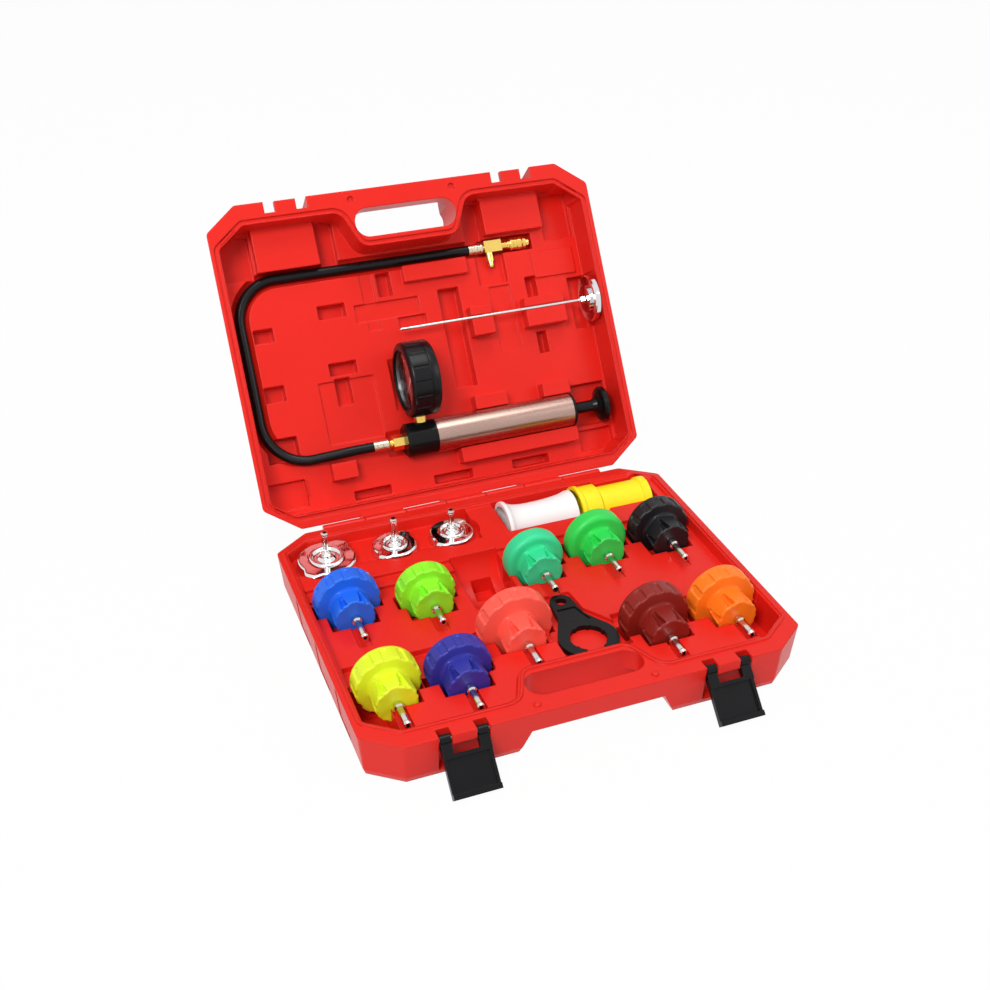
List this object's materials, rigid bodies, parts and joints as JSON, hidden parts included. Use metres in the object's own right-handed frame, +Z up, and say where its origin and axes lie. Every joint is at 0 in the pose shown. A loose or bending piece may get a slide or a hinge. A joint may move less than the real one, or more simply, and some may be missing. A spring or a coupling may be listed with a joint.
{
  "type": "radiator pressure tester",
  "caption": "Cooling system pressure tester kit in a hinged carrying case: hand pump with gauge and hose, thermometer, radiator caps, neck adapters and a wrench.",
  "frame": {"origin": "on the resting face, at the centre of the case's outline", "axes": "+X to the right along the front of the case, +Y to the hinge at the back, +Z up"},
  "size_m": [0.4, 0.5737, 0.3087],
  "materials": {
    "case_red": "fine satin moulded texture",
    "latch_black": "satin black",
    "pin_steel": "drawn wire",
    "barrel_bronze": "rose bronze anodised, brushed along its length",
    "pump_black": "satin black",
    "handle_black": "semi gloss black",
    "rod_chrome": "polished",
    "piston_nylon": "natural nylon",
    "seal_rubber": "matt black",
    "boot_rubber": "satin moulded rubber",
    "gauge_steel": "brushed",
    "dial_black": "matt printed",
    "dial_white": "matt printed",
    "needle_white": "painted",
    "needle_dark": "painted",
    "lens_clear": "clear",
    "brass": "bright turned",
    "ferrule_plated": "yellow zinc plated",
    "hose_rubber": "satin black",
    "thermo_steel": "polished stainless",
    "cap_chrome": "stamped and plated",
    "nickel": "nickel plated",
    "blue_plastic": "satin moulded",
    "lime_plastic": "satin moulded",
    "mint_plastic": "satin moulded",
    "green_plastic": "satin moulded",
    "black_plastic": "satin moulded",
    "citron_plastic": "satin moulded",
    "navy_plastic": "satin moulded",
    "coral_plastic": "satin moulded",
    "maroon_plastic": "satin moulded",
    "orange_plastic": "satin moulded",
    "white_plastic": "satin moulded",
    "yellow_plastic": "satin moulded"
  },
  "bodies": {
    "base": {"case_base": "case_red", "hinge_pin": "pin_steel", "latch_pins": "pin_steel"},
    "lid": {"case_lid": "case_red"},
    "left_latch": {"latch_left": "latch_black"},
    "right_latch": {"latch_right": "latch_black"},
    "pump": {"pump_barrel": "barrel_bronze", "pump_head": "pump_black", "pump_end_cap": "pump_black", "check_valve": "seal_rubber", "gauge_stem": "brass", "gauge_case": "gauge_steel", "gauge_boot": "boot_rubber", "gauge_dial": "dial_black", "gauge_lens": "lens_clear", "hose": "hose_rubber", "hose_ferrules": "ferrule_plated", "hose_nut": "brass", "tee_body": "brass", "coupler_body": "brass"},
    "plunger": {"pump_rod": "rod_chrome", "pump_handle": "handle_black", "pump_piston": "piston_nylon", "piston_seal": "seal_rubber"},
    "gauge_pointer": {"gauge_needle": "needle_white"},
    "valve": {"release_valve": "brass"},
    "sleeve": {"coupler_sleeve": "brass"},
    "thermometer": {"thermometer_body": "thermo_steel", "thermometer_dial": "dial_white", "thermometer_lens": "lens_clear"},
    "thermometer_pointer": {"thermometer_needle": "needle_dark"},
    "large_cap_set": {"large_cap": "cap_chrome", "large_cap_nipple": "nickel"},
    "medium_cap_set": {"medium_cap": "cap_chrome", "medium_cap_nipple": "nickel"},
    "small_cap_set": {"small_cap": "cap_chrome", "small_cap_nipple": "nickel"},
    "blue_adapter_set": {"blue_adapter": "blue_plastic", "blue_adapter_nipple": "nickel"},
    "lime_adapter_set": {"lime_adapter": "lime_plastic", "lime_adapter_nipple": "nickel"},
    "mint_adapter_set": {"mint_adapter": "mint_plastic", "mint_adapter_nipple": "nickel"},
    "green_adapter_set": {"green_adapter": "green_plastic", "green_adapter_nipple": "nickel"},
    "black_adapter_set": {"black_adapter": "black_plastic", "black_adapter_nipple": "nickel"},
    "citron_adapter_set": {"citron_adapter": "citron_plastic", "citron_adapter_nipple": "nickel"},
    "navy_adapter_set": {"navy_adapter": "navy_plastic", "navy_adapter_nipple": "nickel"},
    "coral_adapter_set": {"coral_adapter": "coral_plastic", "coral_adapter_nipple": "nickel"},
    "maroon_adapter_set": {"maroon_adapter": "maroon_plastic", "maroon_adapter_nipple": "nickel"},
    "orange_adapter_set": {"orange_adapter": "orange_plastic", "orange_adapter_nipple": "nickel"},
    "white_neck_adapter_body": {"white_neck_adapter": "white_plastic"},
    "yellow_neck_adapter_body": {"yellow_neck_adapter": "yellow_plastic"},
    "cap_wrench_body": {"cap_wrench": "latch_black"}
  },
  "joints": [
    {"name": "lid_hinge", "type": "hinge", "parent": "base", "child": "lid", "pos_m": [0, 0.1656, 0.0392], "axis": [-1, 0, 0], "range_deg": [-123.3, 0]},
    {"name": "left_latch_hinge", "type": "hinge", "parent": "base", "child": "left_latch", "pos_m": [-0.1185, -0.156, 0.0385], "axis": [1, 0, 0], "range_deg": [-135, 0]},
    {"name": "right_latch_hinge", "type": "hinge", "parent": "base", "child": "right_latch", "pos_m": [0.1185, -0.156, 0.0385], "axis": [1, 0, 0], "range_deg": [-135, 0]},
    {"name": "pump_lift", "type": "slide", "parent": "lid", "child": "pump", "axis": [0, -0.8358, 0.549], "range_m": [0, 0.06]},
    {"name": "plunger_slide", "type": "slide", "parent": "pump", "child": "plunger", "axis": [1, 0, 0], "range_m": [0, 0.005]},
    {"name": "gauge_needle_turn", "type": "hinge", "parent": "pump", "child": "gauge_pointer", "pos_m": [-0.027, 0.24405, 0.14369], "axis": [1, 0, 0], "range_deg": [0, 270]},
    {"name": "release_valve_press", "type": "slide", "parent": "pump", "child": "valve", "axis": [0, 0.549, 0.8358], "range_m": [0, 0.0016], "stiffness_N_per_m": 500, "springref_m": -0.002},
    {"name": "coupler_sleeve_slide", "type": "slide", "parent": "pump", "child": "sleeve", "axis": [-1, 0, 0], "range_m": [0, 0.003], "stiffness_N_per_m": 700, "springref_m": -0.002},
    {"name": "thermometer_lift", "type": "slide", "parent": "lid", "child": "thermometer", "axis": [0, -0.8358, 0.549], "range_m": [0, 0.06]},
    {"name": "thermometer_needle_turn", "type": "hinge", "parent": "thermometer", "child": "thermometer_pointer", "pos_m": [0.1846, 0.28485, 0.1803], "axis": [-1, 0, 0], "range_deg": [0, 270]},
    {"name": "large_cap_lift", "type": "slide", "parent": "base", "child": "large_cap_set", "axis": [0, 0, 1], "range_m": [0, 0.06]},
    {"name": "medium_cap_lift", "type": "slide", "parent": "base", "child": "medium_cap_set", "axis": [0, 0, 1], "range_m": [0, 0.06]},
    {"name": "small_cap_lift", "type": "slide", "parent": "base", "child": "small_cap_set", "axis": [0, 0, 1], "range_m": [0, 0.06]},
    {"name": "blue_adapter_lift", "type": "slide", "parent": "base", "child": "blue_adapter_set", "axis": [0, 0, 1], "range_m": [0, 0.06]},
    {"name": "lime_adapter_lift", "type": "slide", "parent": "base", "child": "lime_adapter_set", "axis": [0, 0, 1], "range_m": [0, 0.06]},
    {"name": "mint_adapter_lift", "type": "slide", "parent": "base", "child": "mint_adapter_set", "axis": [0, 0, 1], "range_m": [0, 0.06]},
    {"name": "green_adapter_lift", "type": "slide", "parent": "base", "child": "green_adapter_set", "axis": [0, 0, 1], "range_m": [0, 0.06]},
    {"name": "black_adapter_lift", "type": "slide", "parent": "base", "child": "black_adapter_set", "axis": [0, 0, 1], "range_m": [0, 0.06]},
    {"name": "citron_adapter_lift", "type": "slide", "parent": "base", "child": "citron_adapter_set", "axis": [0, 0, 1], "range_m": [0, 0.06]},
    {"name": "navy_adapter_lift", "type": "slide", "parent": "base", "child": "navy_adapter_set", "axis": [0, 0, 1], "range_m": [0, 0.06]},
    {"name": "coral_adapter_lift", "type": "slide", "parent": "base", "child": "coral_adapter_set", "axis": [0, 0, 1], "range_m": [0, 0.06]},
    {"name": "maroon_adapter_lift", "type": "slide", "parent": "base", "child": "maroon_adapter_set", "axis": [0, 0, 1], "range_m": [0, 0.06]},
    {"name": "orange_adapter_lift", "type": "slide", "parent": "base", "child": "orange_adapter_set", "axis": [0, 0, 1], "range_m": [0, 0.06]},
    {"name": "white_neck_adapter_lift", "type": "slide", "parent": "base", "child": "white_neck_adapter_body", "axis": [0, 0, 1], "range_m": [0, 0.06]},
    {"name": "yellow_neck_adapter_lift", "type": "slide", "parent": "base", "child": "yellow_neck_adapter_body", "axis": [0, 0, 1], "range_m": [0, 0.06]},
    {"name": "cap_wrench_lift", "type": "slide", "parent": "base", "child": "cap_wrench_body", "axis": [0, 0, 1], "range_m": [0, 0.06]}
  ]
}
